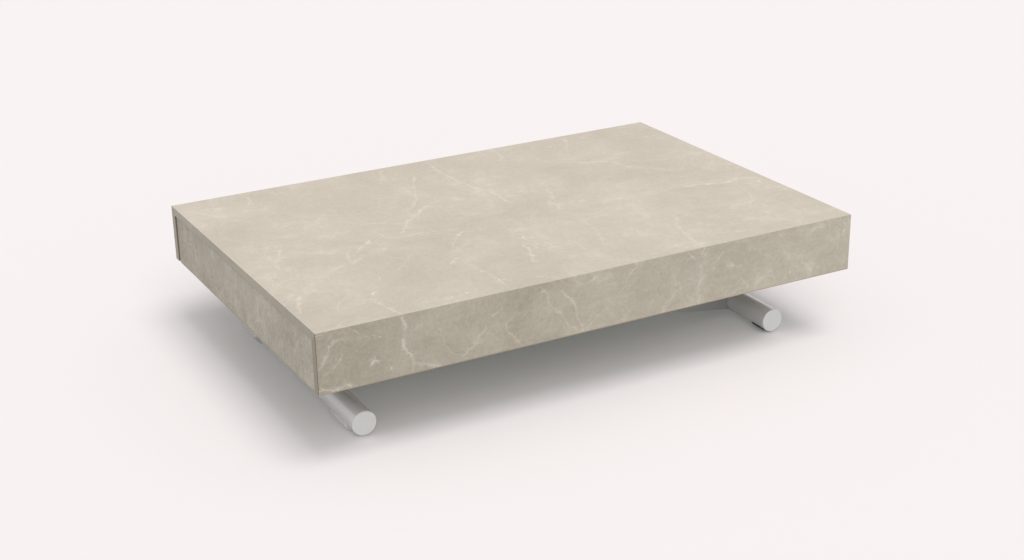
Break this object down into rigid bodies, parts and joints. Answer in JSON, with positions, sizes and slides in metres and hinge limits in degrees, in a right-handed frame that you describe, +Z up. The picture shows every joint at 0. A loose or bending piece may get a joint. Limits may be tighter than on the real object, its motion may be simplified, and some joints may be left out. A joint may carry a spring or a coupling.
{
  "type": "extendable coffee table",
  "caption": "Low rectangular coffee table with a thick stone-effect box top, scissor legs on round foot tubes that lift it to dining height, and leaves that draw out of its ends.",
  "frame": {"origin": "on the floor under the middle of the table top, with the table at its lowest height", "axes": "+X along the table's length towards the wheeled foot, +Y from the front to the back, +Z up"},
  "size_m": [1.2, 0.8, 0.274],
  "materials": {
    "stone_laminate": "stone-effect laminate on particle board, satin",
    "batten_wood": "plain softwood",
    "foot_paint": "light grey powder coat, satin",
    "frame_paint": "light grey powder coat, satin",
    "pale_plastic": "moulded",
    "black_plastic": "moulded",
    "wheel_rubber": "moulded",
    "bright_steel": "zinc plated",
    "spring_paint": "black gloss",
    "rod_chrome": "polished"
  },
  "bodies": {
    "left_foot": {"left_foot_tube": "foot_paint", "left_foot_cap_front": "pale_plastic", "left_foot_cap_back": "pale_plastic", "left_pivot_rod": "bright_steel", "left_rod_discs": "black_plastic", "glide_front": "pale_plastic", "glide_back": "pale_plastic"},
    "inner_legs": {"inner_arm_front": "frame_paint", "inner_arm_back": "frame_paint", "inner_bushes": "black_plastic", "inner_tie_tube": "frame_paint", "middle_bolts": "bright_steel"},
    "outer_legs": {"outer_arm_front": "frame_paint", "outer_arm_back": "frame_paint", "outer_bushes": "black_plastic", "outer_tie_tube": "frame_paint"},
    "right_foot": {"right_foot_tube": "foot_paint", "right_foot_cap_front": "pale_plastic", "right_foot_cap_back": "pale_plastic", "right_pivot_rod": "bright_steel", "right_rod_discs": "black_plastic", "wheel_carrier_front": "black_plastic", "wheel_carrier_back": "black_plastic", "wheel_axles": "bright_steel"},
    "front_wheel": {"floor_wheel_front": "wheel_rubber"},
    "back_wheel": {"floor_wheel_back": "wheel_rubber"},
    "top": {"table_top": "stone_laminate", "front_apron": "stone_laminate", "back_apron": "stone_laminate", "track_front": "frame_paint", "track_back": "frame_paint", "left_crossbar": "frame_paint", "inner_left_crossbar": "frame_paint", "inner_right_crossbar": "frame_paint", "right_crossbar": "frame_paint", "end_plates": "frame_paint", "frame_screws": "bright_steel", "fixed_axle": "bright_steel", "spring_barrel": "spring_paint", "spring_brackets": "frame_paint", "left_slide_outers": "bright_steel", "right_slide_outers": "bright_steel"},
    "carriage": {"carriage_axle": "bright_steel", "spring_yoke": "bright_steel", "spring_rod": "rod_chrome"},
    "front_roller": {"track_roller_front": "black_plastic"},
    "back_roller": {"track_roller_back": "black_plastic"},
    "left_leaf": {"left_leaf": "stone_laminate", "left_end_panel": "stone_laminate", "left_runners": "batten_wood", "left_slide_inners": "bright_steel"},
    "right_leaf": {"right_leaf": "stone_laminate", "right_end_panel": "stone_laminate", "right_runners": "batten_wood", "right_slide_inners": "bright_steel"},
    "left_slides": {"left_slide_middles": "bright_steel"},
    "right_slides": {"right_slide_middles": "bright_steel"},
    "release": {"release_shaft": "bright_steel", "release_handle": "black_plastic"},
    "release_pin": {"release_pin": "bright_steel"}
  },
  "joints": [
    {"name": "lift", "type": "hinge", "parent": "left_foot", "child": "inner_legs", "pos_m": [-0.478, 0, 0.029], "axis": [0, -1, 0], "range_deg": [0, 34]},
    {"name": "scissor", "type": "hinge", "parent": "inner_legs", "child": "outer_legs", "pos_m": [0, 0, 0.103], "axis": [0, -1, 0], "range_deg": [-68, 0]},
    {"name": "right_foot_pivot", "type": "hinge", "parent": "outer_legs", "child": "right_foot", "pos_m": [0.478, 0, 0.029], "axis": [0, -1, 0], "range_deg": [0, 34]},
    {"name": "top_pivot", "type": "hinge", "parent": "outer_legs", "child": "top", "pos_m": [-0.478, 0, 0.177], "axis": [0, -1, 0], "range_deg": [0, 34]},
    {"name": "carriage_pivot", "type": "hinge", "parent": "inner_legs", "child": "carriage", "pos_m": [0.478, 0, 0.177], "axis": [0, -1, 0], "range_deg": [-34, 0]},
    {"name": "front_wheel_spin", "type": "hinge", "parent": "right_foot", "child": "front_wheel", "pos_m": [0.478, -0.275, 0.02], "axis": [0, 1, 0], "continuous": true},
    {"name": "back_wheel_spin", "type": "hinge", "parent": "right_foot", "child": "back_wheel", "pos_m": [0.478, 0.275, 0.02], "axis": [0, 1, 0], "continuous": true},
    {"name": "front_roller_spin", "type": "hinge", "parent": "carriage", "child": "front_roller", "pos_m": [0.478, -0.1895, 0.177], "axis": [0, 1, 0], "continuous": true},
    {"name": "back_roller_spin", "type": "hinge", "parent": "carriage", "child": "back_roller", "pos_m": [0.478, 0.1895, 0.177], "axis": [0, 1, 0], "continuous": true},
    {"name": "left_leaf_pull", "type": "slide", "parent": "top", "child": "left_leaf", "axis": [-1, 0, 0], "range_m": [0, 0.4]},
    {"name": "right_leaf_pull", "type": "slide", "parent": "top", "child": "right_leaf", "axis": [1, 0, 0], "range_m": [0, 0.4]},
    {"name": "left_slide_run", "type": "slide", "parent": "top", "child": "left_slides", "axis": [-1, 0, 0], "range_m": [0, 0.2]},
    {"name": "right_slide_run", "type": "slide", "parent": "top", "child": "right_slides", "axis": [1, 0, 0], "range_m": [0, 0.2]},
    {"name": "release_turn", "type": "hinge", "parent": "top", "child": "release", "pos_m": [-0.17, 0, 0.169], "axis": [0, 1, 0], "range_deg": [0, 15]},
    {"name": "release_push", "type": "slide", "parent": "top", "child": "release_pin", "axis": [1, 0, 0], "range_m": [0, 0.0032]}
  ],
  "couplings": [
    {"joint": "scissor", "follows": "lift", "ratio": -2},
    {"joint": "right_foot_pivot", "follows": "lift", "ratio": 1},
    {"joint": "top_pivot", "follows": "lift", "ratio": 1},
    {"joint": "carriage_pivot", "follows": "lift", "ratio": -1},
    {"joint": "left_slide_run", "follows": "left_leaf_pull", "ratio": 0.5},
    {"joint": "right_slide_run", "follows": "right_leaf_pull", "ratio": 0.5},
    {"joint": "release_push", "follows": "release_turn", "m_per_rad": 0.0121}
  ]
}
